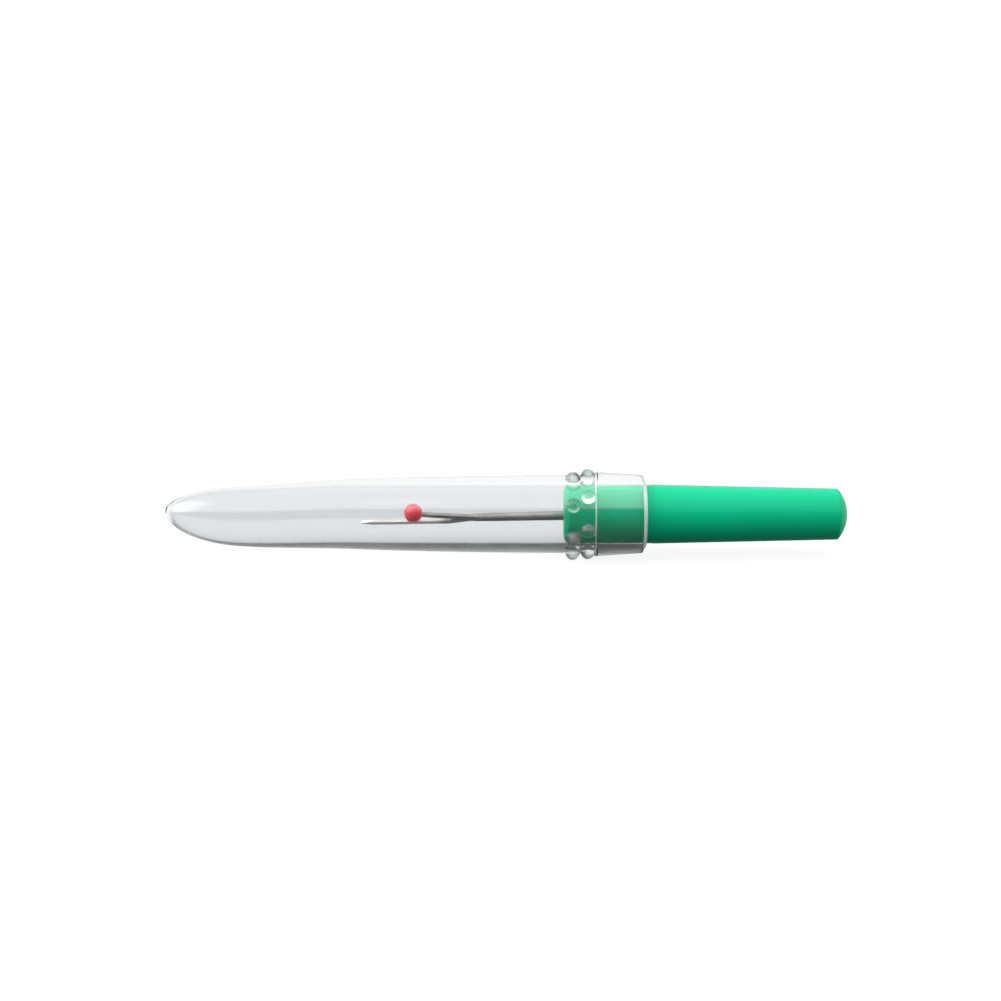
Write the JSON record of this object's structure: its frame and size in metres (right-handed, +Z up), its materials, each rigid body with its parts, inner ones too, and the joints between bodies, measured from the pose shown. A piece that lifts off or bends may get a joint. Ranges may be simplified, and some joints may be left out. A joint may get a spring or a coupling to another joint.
{
  "type": "seam ripper",
  "caption": "Small seam ripper with a tapered moulded handle, a forked steel blade with a bead on the short tine, and a clear slip-on cap.",
  "frame": {"origin": "under the middle of the object's box, on the surface that the cap's nubs rest on", "axes": "+X along the object from the cap's nose to the handle's domed end, +Z up"},
  "size_m": [0.0869, 0.0116, 0.0114],
  "materials": {
    "green_plastic": "injection moulded, satin to gloss",
    "blade_steel": "drawn and ground, bright",
    "red_plastic": "gloss",
    "clear_plastic": "clear, polished mould"
  },
  "bodies": {
    "handle": {"handle": "green_plastic", "blade": "blade_steel", "ball_tip": "red_plastic"},
    "cap": {"cap": "clear_plastic"}
  },
  "joints": [
    {"name": "cap_pull", "type": "slide", "parent": "handle", "child": "cap", "axis": [-1, 0, 0], "range_m": [0, 0.045]}
  ]
}
